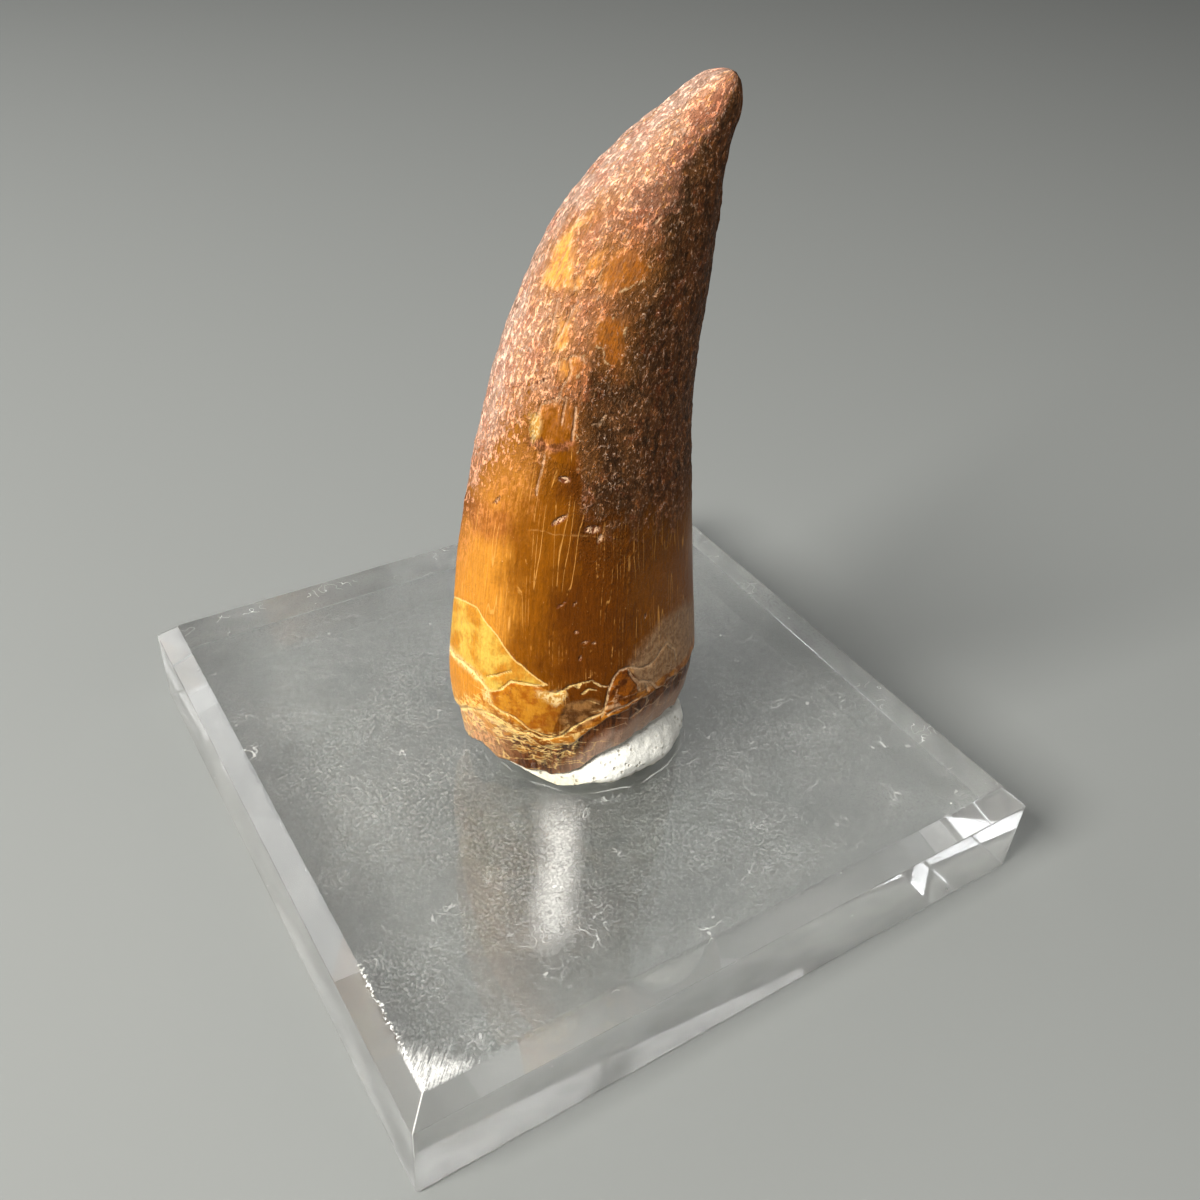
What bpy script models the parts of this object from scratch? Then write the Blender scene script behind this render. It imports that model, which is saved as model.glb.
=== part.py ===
"""Fossil dinosaur tooth held upright by a pad of putty on a clear acrylic block.

The tooth is a tall blade of oval section that curves towards its straight rear
edge. Its broken root sits on a wedge of putty, and the putty sits on the middle
of a square block with bevelled top edges. Metres, +Z up, origin at the middle of
the block's underside.
"""
import math

import bmesh
import bpy
import numpy as np

MM = 0.001

# Acrylic block
BLOCK_SIDE = 76.2 * MM
BLOCK_HEIGHT = 12.4 * MM
BLOCK_BEVEL = 2.3 * MM

# Clearance between two pieces that touch
CONTACT_GAP = 0.3 * MM

# Tooth: where its root stands, how far it is turned about the vertical, its tip
ROOT_X = -2.2 * MM
ROOT_Y = -3.0 * MM
ROOT_LEVEL = 14.0 * MM
TIP_LEVEL = 83.5 * MM
BLADE_TURN = math.radians(-18.0)

# The middle line of the blade leans to its rear edge, mostly near the tip
TIP_LEAN = 11.8 * MM
LEAN_POWER = 4.5
ROOT_LEAN = 0.9 * MM
ROOT_LEAN_POWER = 3

# Half the blade's width from front edge to rear edge, at shares of its height
HALF_WIDTHS = (
    (0.00, 13.0 * MM),
    (0.12, 13.8 * MM),
    (0.25, 13.0 * MM),
    (0.40, 11.8 * MM),
    (0.55, 10.3 * MM),
    (0.70, 8.9 * MM),
    (0.80, 7.5 * MM),
    (0.88, 5.5 * MM),
    (0.94, 3.4 * MM),
    (1.00, 1.7 * MM),
)
TIP_ROUNDING = 2.2 * MM

# Thickness as a share of width, at the root and at the tip
ROOT_THICKNESS = 0.78
TIP_THICKNESS = 0.66

# Each edge of the blade narrows to a low cutting ridge above the root
EDGE_SHARPNESS = 0.25
EDGE_START = 0.40
CARINA_HEIGHT = 0.25 * MM
CARINA_WIDTH = 0.10
FACE_RIDGE = 0.05
FACE_RIDGE_PLACE = 0.15
FACE_RIDGE_WIDTH = 0.30

# Level of the broken root's edge, going round from the rear edge of the blade
# by way of the face (90 degrees) to the front edge (180) and the other face
RIM_LEVELS = (
    (0, 17.0 * MM),
    (30, 17.9 * MM),
    (50, 18.5 * MM),
    (75, 18.0 * MM),
    (90, 16.1 * MM),
    (102, 14.3 * MM),
    (122, 14.1 * MM),
    (137, 14.8 * MM),
    (155, 15.8 * MM),
    (172, 14.4 * MM),
    (185, 13.9 * MM),
    (210, 14.7 * MM),
    (240, 15.7 * MM),
    (270, 15.3 * MM),
    (300, 16.3 * MM),
    (330, 17.0 * MM),
    (360, 17.0 * MM),
)
RIM_CHIPS = ((0.12 * MM, 9, 0.7), (0.10 * MM, 16, 2.1), (0.08 * MM, 23, 4.0))

# The wall draws in above the broken edge, more at the rear edge of the blade
RIM_INSET_FRONT = 0.15 * MM
RIM_INSET_REAR = 0.7 * MM
RIM_INSET_REACH = 2.6 * MM

# The enamel stops short of the broken edge in an uneven step
ENAMEL_STEP = 0.3 * MM
ENAMEL_EDGE = 3.0 * MM
ENAMEL_EDGE_WAVES = ((0.8 * MM, 3, 1.0), (0.4 * MM, 8, 0.3))
ENAMEL_STEP_RUN = 0.5 * MM

# Hollow of the root's underside
ROOT_HOLLOW = 1.2 * MM
ROOT_CENTRE_LEVEL = 16.2 * MM

# Putty: a squashed ball, widest a little above the block
PUTTY_X = -0.5 * MM
PUTTY_Y = -3.0 * MM
PUTTY_RADIUS = 11.5 * MM
PUTTY_SWELL = 0.7 * MM
PUTTY_SWELL_SIDE = math.radians(-35.0)
PUTTY_FOOT = 0.86
PUTTY_WAIST_SHARE = 0.3
PUTTY_CUP_SHARES = (0.84, 0.60, 0.30)
PUTTY_CUP_GAP = 0.36 * MM
PUTTY_BULGE = 0.8
PUTTY_BULGE_RISE = (1.8 * MM, 4.0 * MM)
PUTTY_LUMPS = ((0.14 * MM, 5, 0.4), (0.10 * MM, 11, 1.9))

# Finishes
ENAMEL_COLOUR = (0.42, 0.17, 0.04)
ENAMEL_ROUGHNESS = 0.35
PUTTY_COLOUR = (0.86, 0.85, 0.79)
PUTTY_ROUGHNESS = 0.9
ACRYLIC_COLOUR = (0.97, 0.98, 0.98)
ACRYLIC_ROUGHNESS = 0.02
ACRYLIC_IOR = 1.49

# Mesh fineness
COLUMNS = 72
WALL_ROWS = 42
ROW_CROWDING = 0.12
UNDERSIDE_RINGS = (0.90, 0.60, 0.30)
PUTTY_FOOT_RINGS = 3
PUTTY_FLANK_RINGS = 5


def remove_scene_objects():
    """Empty the scene without closing the file."""
    for item in list(bpy.data.objects):
        bpy.data.objects.remove(item, do_unlink=True)


def make_collection(name):
    """Add a collection to the scene and return it."""
    collection = bpy.data.collections.new(name)
    bpy.context.scene.collection.children.link(collection)
    return collection


def make_material(name, colour, roughness):
    """Return a Principled BSDF material of one colour."""
    material = bpy.data.materials.new(name)
    material.use_nodes = True
    shader = material.node_tree.nodes["Principled BSDF"]
    shader.inputs["Base Color"].default_value = (*colour, 1.0)
    shader.inputs["Roughness"].default_value = roughness
    shader.inputs["Metallic"].default_value = 0.0
    return material


def add_object(name, mesh, material, collection):
    """Wrap a mesh in an object of one material."""
    mesh.materials.append(material)
    item = bpy.data.objects.new(name, mesh)
    collection.objects.link(item)
    return item


def smooth_curve(x, keys):
    """Cubic curve through (place, value) keys, with the keys' own slopes."""
    places, values = np.array(keys, dtype=float).T
    slopes = np.gradient(values, places)
    left = np.clip(np.searchsorted(places, x, side="right") - 1, 0, len(places) - 2)
    span = places[left + 1] - places[left]
    u = np.clip((x - places[left]) / span, 0.0, 1.0)
    start = values[left] * (1 + 2 * u) * (1 - u) ** 2 + slopes[left] * span * u * (1 - u) ** 2
    end = values[left + 1] * u**2 * (3 - 2 * u) - slopes[left + 1] * span * u**2 * (1 - u)
    return start + end


def ripples(angle, waves):
    """Sum of sine waves round a ring, from (height, count, phase) triples."""
    return sum(height * np.sin(count * angle + phase) for height, count, phase in waves)


def smooth_step(x, low, high):
    """0 below low, 1 above high, and an S between them."""
    u = np.clip((x - low) / (high - low), 0.0, 1.0)
    return u * u * (3 - 2 * u)


def rim_level(angle):
    """Level of the broken root's edge at an angle round the blade."""
    return smooth_curve(np.degrees(angle), RIM_LEVELS) + ripples(angle, RIM_CHIPS)


def blade_point(share, angle, inset):
    """Point of the blade's surface at a share of its height and an angle round it.

    Each section is square to the curved middle line. It is an oval that turns
    into a lens with a cutting ridge at both ends, drawn in by the inset.
    """
    height = TIP_LEVEL - ROOT_LEVEL
    climbed = np.maximum(share, 0.0)
    left = 1 - share
    lean = TIP_LEAN * climbed**LEAN_POWER + ROOT_LEAN * left**ROOT_LEAN_POWER
    tip_slope = TIP_LEAN * LEAN_POWER * climbed ** (LEAN_POWER - 1)
    lean_slope = tip_slope - ROOT_LEAN * ROOT_LEAN_POWER * left ** (ROOT_LEAN_POWER - 1)
    length = np.hypot(lean_slope, height)
    tangent_across = lean_slope / length
    tangent_up = height / length

    from_tip = np.clip(left * height / TIP_ROUNDING, 0.0, 1.0)
    dome = np.sqrt(1 - (1 - from_tip) ** 2)
    half_width = smooth_curve(np.clip(share, 0.0, 1.0), HALF_WIDTHS) * dome
    thickness = ROOT_THICKNESS + (TIP_THICKNESS - ROOT_THICKNESS) * share
    bladed = np.clip(share / EDGE_START, 0.0, 1.0)
    across = np.cos(angle)
    outward = np.sin(angle) * np.abs(np.sin(angle)) ** (EDGE_SHARPNESS * bladed)
    ridge = np.exp(-(((across - FACE_RIDGE_PLACE) / FACE_RIDGE_WIDTH) ** 2))
    outward = outward * (1 + FACE_RIDGE * ridge)
    carina = CARINA_HEIGHT * bladed * dome * np.exp(-((np.sin(angle) / CARINA_WIDTH) ** 2))
    along_blade = across * (half_width - inset + carina)
    off_blade = outward * (half_width * thickness - inset)

    forward = lean + along_blade * tangent_up
    level = ROOT_LEVEL + share * height - along_blade * tangent_across
    x = ROOT_X + forward * math.cos(BLADE_TURN) + off_blade * math.sin(BLADE_TURN)
    y = ROOT_Y + forward * math.sin(BLADE_TURN) - off_blade * math.cos(BLADE_TURN)
    return np.stack([x, y, level], axis=-1)


def tooth_wall():
    """Rings of the tooth's wall from the broken edge up to just below the tip."""
    angle = np.linspace(0.0, 2 * math.pi, COLUMNS, endpoint=False)[None, :]
    row = (np.arange(WALL_ROWS) / WALL_ROWS)[:, None]
    row = row - ROW_CROWDING * np.sin(2 * math.pi * row)
    height = TIP_LEVEL - ROOT_LEVEL
    rim_share = (rim_level(angle) - ROOT_LEVEL) / height
    share = rim_share + (1 - rim_share) * row
    above_rim = (share - rim_share) * height
    rear = (1 + np.cos(angle)) / 2
    rim_inset = RIM_INSET_FRONT + (RIM_INSET_REAR - RIM_INSET_FRONT) * rear
    inset = rim_inset * np.exp(-above_rim / RIM_INSET_REACH)
    edge = ENAMEL_EDGE + ripples(angle, ENAMEL_EDGE_WAVES)
    inset = inset + ENAMEL_STEP * (1 - smooth_step(above_rim, edge, edge + ENAMEL_STEP_RUN))
    return blade_point(share, angle, inset)


def root_underside(rim, share, drop):
    """Ring of the root's hollow underside at a share of the way out to its edge."""
    centre = rim.mean(axis=0)
    centre[2] = ROOT_CENTRE_LEVEL
    ring = centre + (rim - centre) * share
    ring[:, 2] += ROOT_HOLLOW * (1 - share**2) - drop
    return ring


def tooth_rings():
    """All rings of the tooth, from the middle of its underside to its tip."""
    wall = tooth_wall()
    rim = wall[0]
    underside = [root_underside(rim, share, 0.0) for share in reversed(UNDERSIDE_RINGS)]
    bottom = root_underside(rim, 0.0, 0.0)[0]
    tip = blade_point(np.array(1.0), np.array(0.0), 0.0)
    return bottom, [*underside, *wall], tip


def putty_rings():
    """All rings of the putty, from under its middle, round its waist to its top."""
    rim = tooth_wall()[0]
    cup = [root_underside(rim, share, PUTTY_CUP_GAP) for share in PUTTY_CUP_SHARES]
    top = cup[0]
    turn = np.arctan2(top[:, 1] - PUTTY_Y, top[:, 0] - PUTTY_X)
    swell = np.cos(turn - PUTTY_SWELL_SIDE)
    radius = PUTTY_RADIUS + PUTTY_SWELL * swell + ripples(turn, PUTTY_LUMPS)
    foot_level = BLOCK_HEIGHT + CONTACT_GAP
    waist_level = foot_level + PUTTY_WAIST_SHARE * (top[:, 2] - foot_level)
    top_radius = np.hypot(top[:, 1] - PUTTY_Y, top[:, 0] - PUTTY_X)

    def ring(reach, level):
        return np.stack([PUTTY_X + reach * np.cos(turn), PUTTY_Y + reach * np.sin(turn), level], axis=-1)

    rings = []
    for step in range(PUTTY_FOOT_RINGS):
        bend = step / PUTTY_FOOT_RINGS * math.pi / 2
        reach = radius * (PUTTY_FOOT + (1 - PUTTY_FOOT) * math.sin(bend))
        rings.append(ring(reach, waist_level + (foot_level - waist_level) * math.cos(bend)))
    rise = top[:, 2] - waist_level
    bulge = 1 + PUTTY_BULGE * smooth_step(rise, *PUTTY_BULGE_RISE)
    for step in range(PUTTY_FLANK_RINGS):
        climb = step / PUTTY_FLANK_RINGS
        reach = top_radius + (radius - top_radius) * (1 - climb**bulge)
        rings.append(ring(reach, waist_level + rise * climb))
    bottom = np.array([PUTTY_X, PUTTY_Y, foot_level])
    return bottom, [*rings, *cup], root_underside(rim, 0.0, PUTTY_CUP_GAP)[0]


def loft(name, bottom, rings, top):
    """Closed mesh through rings of equal count, with a point at both ends."""
    count = len(rings[0])
    points = np.concatenate([bottom[None], *rings, top[None]])
    last = len(points) - 1
    here = np.arange(count)
    beside = (here + 1) % count
    faces = [(0, 1 + a, 1 + b) for a, b in zip(here, beside)]
    for level in range(len(rings) - 1):
        low = 1 + level * count
        high = low + count
        faces += [(low + a, high + a, high + b, low + b) for a, b in zip(here, beside)]
    final = 1 + (len(rings) - 1) * count
    faces += [(last, final + b, final + a) for a, b in zip(here, beside)]
    mesh = bpy.data.meshes.new(name)
    mesh.from_pydata(points.tolist(), [], faces)
    work = bmesh.new()
    work.from_mesh(mesh)
    bmesh.ops.triangulate(work, faces=work.faces[:])
    bmesh.ops.recalc_face_normals(work, faces=work.faces[:])
    work.to_mesh(mesh)
    work.free()
    mesh.shade_smooth()
    return mesh


def block_mesh(name):
    """Square block standing on the origin, its four top edges bevelled."""
    mesh = bpy.data.meshes.new(name)
    work = bmesh.new()
    bmesh.ops.create_cube(work, size=1.0)
    bmesh.ops.translate(work, verts=work.verts[:], vec=(0.0, 0.0, 0.5))
    bmesh.ops.scale(work, verts=work.verts[:], vec=(BLOCK_SIDE, BLOCK_SIDE, BLOCK_HEIGHT))
    top_edges = [edge for edge in work.edges if min(v.co.z for v in edge.verts) > BLOCK_HEIGHT / 2]
    bmesh.ops.bevel(work, geom=top_edges, offset=BLOCK_BEVEL, segments=1, affect="EDGES")
    work.to_mesh(mesh)
    work.free()
    return mesh


def add_tooth(collection):
    """The fossil tooth, one solid, in amber-brown enamel."""
    material = make_material("tooth_enamel", ENAMEL_COLOUR, ENAMEL_ROUGHNESS)
    return add_object("tooth", loft("tooth", *tooth_rings()), material, collection)


def add_putty(collection):
    """The pad of putty between the tooth and the block."""
    material = make_material("white_putty", PUTTY_COLOUR, PUTTY_ROUGHNESS)
    return add_object("mounting_putty", loft("mounting_putty", *putty_rings()), material, collection)


def add_block(collection):
    """The clear acrylic block."""
    material = make_material("clear_acrylic", ACRYLIC_COLOUR, ACRYLIC_ROUGHNESS)
    shader = material.node_tree.nodes["Principled BSDF"]
    shader.inputs["Transmission Weight"].default_value = 1.0
    shader.inputs["IOR"].default_value = ACRYLIC_IOR
    return add_object("acrylic_block", block_mesh("acrylic_block"), material, collection)


remove_scene_objects()
parts = make_collection("fossil_dinosaur_tooth")
add_tooth(parts)
add_putty(parts)
add_block(parts)
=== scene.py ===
"""Looks of a fossil dinosaur tooth that stands on a pad of putty on a clear acrylic block."""

import math

import bpy
import numpy as np
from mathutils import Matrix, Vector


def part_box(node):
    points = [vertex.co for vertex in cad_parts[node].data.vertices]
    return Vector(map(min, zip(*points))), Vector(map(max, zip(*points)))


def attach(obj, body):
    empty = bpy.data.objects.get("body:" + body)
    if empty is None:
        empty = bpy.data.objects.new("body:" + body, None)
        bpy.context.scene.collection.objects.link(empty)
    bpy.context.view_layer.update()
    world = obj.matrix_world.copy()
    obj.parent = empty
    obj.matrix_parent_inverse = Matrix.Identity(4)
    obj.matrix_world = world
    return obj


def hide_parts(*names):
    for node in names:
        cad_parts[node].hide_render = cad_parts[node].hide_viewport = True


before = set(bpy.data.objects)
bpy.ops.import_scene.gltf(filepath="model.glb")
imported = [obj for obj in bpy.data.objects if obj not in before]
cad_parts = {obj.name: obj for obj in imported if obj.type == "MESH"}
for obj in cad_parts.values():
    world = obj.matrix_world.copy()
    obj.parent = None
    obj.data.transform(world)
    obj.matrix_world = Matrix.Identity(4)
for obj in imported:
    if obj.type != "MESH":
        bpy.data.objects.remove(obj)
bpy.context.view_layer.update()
MM = 0.001


# ---- Acrylic block -------------------------------------------------------------------
# A square of clear cast acrylic with its top edges bevelled and every edge polished to a
# small radius. It is scuffed by handling, and its near corner is bruised white.
BLOCK_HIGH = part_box("acrylic_block")[1]
BLOCK_HALF = BLOCK_HIGH.x
BLOCK_TOP = BLOCK_HIGH.z
BLOCK_BEVEL = 2.3 * MM
BLOCK_EDGE_RADIUS = 0.22 * MM
BLOCK_CORNER_RADIUS = 0.35 * MM
EDGE_STEPS = 6

# The pad's pale ring and a painted reflection streak on the block, in millimetres from the middle of its
# underside
PAD_RING_CENTRE = (0.1, -3.4, 12.35)
PAD_RING_RADIUS = 11.9
REFLECTION_STREAK_START = (-9.0, -13.0)
REFLECTION_STREAK_WAY = (-0.55, -0.835)

# The bruise is measured inwards from here in x and y, and the top's edge is so far in
BRUISE_CORNER = -36.9
TOP_EDGE = 1.1


def edge_round(inset, level, start, end):
    """Quarter or eighth of a circle across an edge, as (inset, level, normal's elevation).

    The circle's middle is at the inset and level given, and the normal turns from
    the start to the end angle.
    """
    lift = np.radians(np.linspace(start, end, EDGE_STEPS + 1))
    inward = inset - BLOCK_EDGE_RADIUS * np.cos(lift)
    return np.stack([inward, level + BLOCK_EDGE_RADIUS * np.sin(lift), lift], axis=-1)


def block_profile():
    """Profile of the block from its underside round its side and bevel to its top."""
    radius = BLOCK_EDGE_RADIUS
    slip = radius * math.tan(math.pi / 8)
    foot = edge_round(radius, radius, -90, 0)
    shoulder = edge_round(radius, BLOCK_TOP - BLOCK_BEVEL - slip, 0, 45)
    brim = edge_round(BLOCK_BEVEL + slip, BLOCK_TOP - radius, 45, 90)
    return np.concatenate([foot, shoulder, brim])


def block_rings():
    """Rounded squares through the profile, with the normal at each point.

    A ring is four quarter circles of the corner radius, run clockwise from above,
    about the corners of a square that the profile's inset makes smaller.
    """
    inset, level, lift = block_profile().T[:, :, None]
    turn = -np.radians(np.linspace(0, 90, EDGE_STEPS + 1))
    turn = (turn[None, :] - np.radians([0, 90, 180, 270])[:, None]).ravel()[None, :]
    quarter = -np.radians(np.repeat([45, 135, 225, 315], EDGE_STEPS + 1))[None, :]
    reach = (BLOCK_HALF - inset - BLOCK_CORNER_RADIUS) * math.sqrt(2)
    x = reach * np.cos(quarter) + BLOCK_CORNER_RADIUS * np.cos(turn)
    y = reach * np.sin(quarter) + BLOCK_CORNER_RADIUS * np.sin(turn)
    points = np.stack([x, y, level + 0 * x], axis=-1)
    flat = np.cos(lift)
    normals = np.stack([flat * np.cos(turn), flat * np.sin(turn), np.sin(lift) + 0 * x], axis=-1)
    return points, normals


def closed_mesh(name, bottom, rings, top):
    """Mesh through rings that run clockwise from above, closed by a point at both ends."""
    rows, columns, _ = rings.shape
    points = np.concatenate([[bottom], rings.reshape(-1, 3), [top]])
    here = np.arange(columns)
    beside = (here + 1) % columns
    low = 1 + columns * np.arange(rows - 1)[:, None]
    high = low + columns
    quads = np.stack([low + here, high + here, high + beside, low + beside], axis=-1)
    last = len(points) - 1
    end = last - columns
    foot = np.stack([0 * here, 1 + here, 1 + beside], axis=-1)
    head = np.stack([0 * here + last, end + beside, end + here], axis=-1)
    mesh = bpy.data.meshes.new(name)
    mesh.from_pydata(points.tolist(), [], foot.tolist() + quads.reshape(-1, 4).tolist() + head.tolist())
    mesh.shade_smooth()
    return mesh


def add_piece(name, mesh, finish, node):
    """Stand a mesh in the scene, in its finish, in the place of a CAD node."""
    mesh.materials.append(finish)
    piece = bpy.data.objects.new(name, mesh)
    bpy.context.scene.collection.objects.link(piece)
    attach(piece, "root")
    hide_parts(node)
    return piece


def colour(paint):
    """A screen's colour, red, green and blue of 0 to 255, as a linear one. A socket stays."""
    if isinstance(paint, Wire):
        return paint
    part = np.array(paint) / 255
    return (*np.where(part < 0.04045, part / 12.92, ((part + 0.055) / 1.055) ** 2.4).tolist(), 1.0)


class Wire:
    """A socket of a finish. Arithmetic on it adds Math nodes to the finish."""

    def __init__(self, finish, socket):
        self.finish = finish
        self.socket = socket

    def maths(self, operation, *values):
        """What a Math node makes of its values."""
        return self.finish.node("ShaderNodeMath", {"operation": operation}, dict(enumerate(values)))

    def __add__(self, other):
        return self.maths("ADD", self, other)

    def __sub__(self, other):
        return self.maths("SUBTRACT", self, other)

    def __rsub__(self, other):
        return self.maths("SUBTRACT", other, self)

    def __mul__(self, other):
        return self.maths("MULTIPLY", self, other)

    def __abs__(self):
        return self.maths("ABSOLUTE", self)

    __radd__ = __add__
    __rmul__ = __mul__

    def step(self, low, high):
        """0 at low, 1 at high and an S between them. Low may be the larger."""
        sockets = {"Value": self, "From Min": low, "From Max": high}
        return self.finish.node("ShaderNodeMapRange", {"interpolation_type": "SMOOTHSTEP"}, sockets)


class Finish:
    """A material: one Principled shader and the nodes that feed it."""

    def __init__(self, name):
        self.material = bpy.data.materials.new(name)
        self.material.use_nodes = True
        self.tree = self.material.node_tree
        self.shader = self.tree.nodes["Principled BSDF"]
        self.out = self.tree.nodes["Material Output"]

    def fill(self, node, values):
        """Set or link a node's sockets from a dictionary of names or places."""
        for key, value in values.items():
            if isinstance(value, Wire):
                self.tree.links.new(value.socket, node.inputs[key])
            else:
                node.inputs[key].default_value = value

    def node(self, kind, settings, sockets, output=0):
        """Add a node, make its settings, fill its sockets and return one output."""
        node = self.tree.nodes.new(kind)
        for key, value in settings.items():
            setattr(node, key, value)
        self.fill(node, sockets)
        return Wire(self, node.outputs[output])

    def coat(self, **sockets):
        """Fill the Principled shader's sockets."""
        self.fill(self.shader, {key.replace("_", " "): value for key, value in sockets.items()})

    def place(self):
        """The object's own coordinates, in metres."""
        return self.node("ShaderNodeTexCoord", {}, {}, "Object")

    def stored(self, name, output="Fac"):
        """A value stored on the mesh."""
        return self.node("ShaderNodeAttribute", {"attribute_name": name}, {}, output)

    def part(self, vector, axis):
        """One of a vector's parts, X, Y or Z."""
        return self.node("ShaderNodeSeparateXYZ", {}, {"Vector": vector}, axis)

    def stretch(self, vector, scale, turn=(0, 0, 0)):
        """A vector turned back and then divided along each axis."""
        sockets = {"Vector": vector, "Scale": scale, "Rotation": turn}
        return self.node("ShaderNodeMapping", {"vector_type": "TEXTURE"}, sockets)

    def noise(self, vector, scale, detail=2.0, roughness=0.5):
        """Noise from 0 to 1."""
        sockets = {"Vector": vector, "Scale": scale, "Detail": detail, "Roughness": roughness}
        return self.node("ShaderNodeTexNoise", {}, sockets, "Fac")

    def cells(self, vector, scale, feature="F1"):
        """Distance from the middles or edges of random cells."""
        sockets = {"Vector": vector, "Scale": scale}
        return self.node("ShaderNodeTexVoronoi", {"feature": feature}, sockets, "Distance")

    def clamp(self, value, most=1.0):
        """A value held between 0 and the most given."""
        return self.node("ShaderNodeClamp", {}, {"Value": value, "Max": most})

    def mix(self, share, first, second):
        """From the first colour to the second."""
        sockets = {0: share, 6: colour(first), 7: colour(second)}
        return self.node("ShaderNodeMix", {"data_type": "RGBA"}, sockets, 2)

    def shade(self, base, amount):
        """A colour made darker or lighter by an amount, 1 leaving it alone."""
        base = base if isinstance(base, Wire) else colour(base)[:3]
        return self.node("ShaderNodeVectorMath", {"operation": "SCALE"}, {0: base, "Scale": amount})

    def bump(self, height, distance):
        """Normals of a relief that is a distance high, from a height of 0 to 1."""
        return self.node("ShaderNodeBump", {}, {"Height": height, "Distance": distance})


def acrylic_finish():
    """Clear acrylic, frosted where it is dusty, scratched or bruised, and white in a painted reflection.

    Its place is in millimetres. The top is dusty and linty, and has a painted reflection of the lit
    tooth in a band before it; its near corner is bruised, with chips along the edge beside it.
    """
    finish = Finish("clear_acrylic")
    place = finish.stretch(finish.place(), (MM, MM, MM))
    x = finish.part(place, "X")
    y = finish.part(place, "Y")
    level = finish.part(place, "Z")
    cloud = finish.noise(place, 0.09, 2)
    speckle = finish.noise(place, 3.0, 2, 0.8)
    curl = finish.noise(place, 0.55, 1, 0.6)
    gather = finish.noise(place, 0.30, 0)
    on_top = level.step(11.9, 12.2)
    lint = abs(curl - 0.5).step(0.010, 0.003) * gather.step(0.58, 0.66) * 0.45
    dust = finish.cells(place, 0.17).step(0.03, 0.018) * 0.8

    # A thin broken pale ring runs round the pad, and the film is left off inside it, so the block is darker
    # there
    pad = finish.node("ShaderNodeVectorMath", {"operation": "DISTANCE"}, {0: place, 1: PAD_RING_CENTRE}, "Value")
    ring = abs(pad - PAD_RING_RADIUS + (gather - 0.5)).step(0.11, 0.03)
    ring = ring * gather.step(0.42, 0.56) * 0.4
    film = speckle.step(0.47, 0.64) * (0.07 + cloud.step(0.36, 0.70) * 0.14) * pad.step(11.6, 13.0)

    # A painted reflection of the lit tooth runs as a band from the putty towards the near edge, broken by
    # speckle and fine curling lines
    beside = x - REFLECTION_STREAK_START[0]
    before = y - REFLECTION_STREAK_START[1]
    along = beside * REFLECTION_STREAK_WAY[0] + before * REFLECTION_STREAK_WAY[1]
    across = beside * REFLECTION_STREAK_WAY[1] - before * REFLECTION_STREAK_WAY[0]
    reflection_stripe = abs(across + (cloud - 0.5) * 3).step(3.4, 0.0)
    reflection_stripe = reflection_stripe * along.step(-2.0, 5.0) * along.step(22.0, 14.0)
    streaks = speckle.step(0.36, 0.6) * 0.12 - abs(curl - 0.46).step(0.02, 0.005) * 0.2
    reflection_stripe = reflection_stripe * (0.42 + streaks)

    # The bruise: feathers that grow inwards from the corner of the top
    u = x - BRUISE_CORNER
    v = y - BRUISE_CORNER
    inner = u.maths("MINIMUM", u, v)
    feather = finish.noise(finish.stretch(place, (6, 0.4, 6), (0, 0, math.pi / 4)), 1.9, 1, 0.7)
    bruise = (u + v + (feather - 0.5) * 9).step(7.4, 5.2) * inner.step(-0.2, 0.05)
    bruise = bruise * (0.25 + feather.step(0.40, 0.54) * 0.45 + speckle.step(0.4, 0.6) * 0.2)

    # Nicks along the top's edge beside it, and the worn edge between the two bevels
    nick = abs(u - TOP_EDGE + (curl - 0.5) * 0.8).step(0.26, 0.10)
    nick = nick * speckle.step(0.50, 0.62) * abs(v - 8).step(8.0, 6.0)
    arris = abs(u - v).step(0.12, 0.03) * u.step(1.3, 1.0) * (0.2 + level.step(9.6, 10.4) * 0.5)
    worn_edge = (nick * 0.8 + arris) * level.step(0.3, 0.9)

    haze = (0.06 + cloud.step(0.30, 0.70) * 0.08) * (1 - on_top)
    # The top's marks, the pad's ring and the painted reflection band, with the sides' haze, dust and worn
    # edges
    wear_and_painted_light = (film + reflection_stripe + bruise + ring + lint) * on_top + haze + dust + worn_edge
    clear = Wire(finish, finish.shader.outputs[0])
    white_sockets = {"Base Color": colour((240, 240, 236)), "Roughness": 0.6}
    white = finish.node("ShaderNodeBsdfPrincipled", {}, white_sockets)
    surface = finish.node("ShaderNodeMixShader", {}, {0: finish.clamp(wear_and_painted_light, 0.92), 1: clear, 2: white})
    finish.fill(finish.out, {"Surface": surface})
    finish.coat(
        Base_Color=(0.985, 0.995, 0.99, 1),
        Roughness=0.0,
        Transmission_Weight=1.0,
        IOR=1.49,
    )
    return finish.material


block_points, block_normals = block_rings()
block = closed_mesh("acrylic_block_clear", (0, 0, 0), block_points, (0, 0, BLOCK_TOP))
block_normals = np.concatenate([[(0, 0, -1)], block_normals.reshape(-1, 3), [(0, 0, 1)]])
block.normals_split_custom_set_from_vertices(block_normals.tolist())
add_piece("acrylic_block_clear", block, acrylic_finish(), "acrylic_block")


# ---- Mounting putty ------------------------------------------------------------------
# A pad of white putty, rolled into a ball and pressed down with the root, so that its
# top is the shape of the root's underside and its flank bulges. It is grainy and pitted.

# The tooth's sizes come here, because the putty takes the shape of its root
BLADE_TURN = math.radians(-18.0)
ROOT_X = -2.2 * MM
ROOT_Y = -3.0 * MM
ROOT_LEVEL = 14.0 * MM
TIP_LEVEL = 83.5 * MM
TIP_LEAN = 11.8 * MM
LEAN_POWER = 4.5
ROOT_LEAN = 0.9 * MM
ROOT_LEAN_POWER = 3

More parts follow.
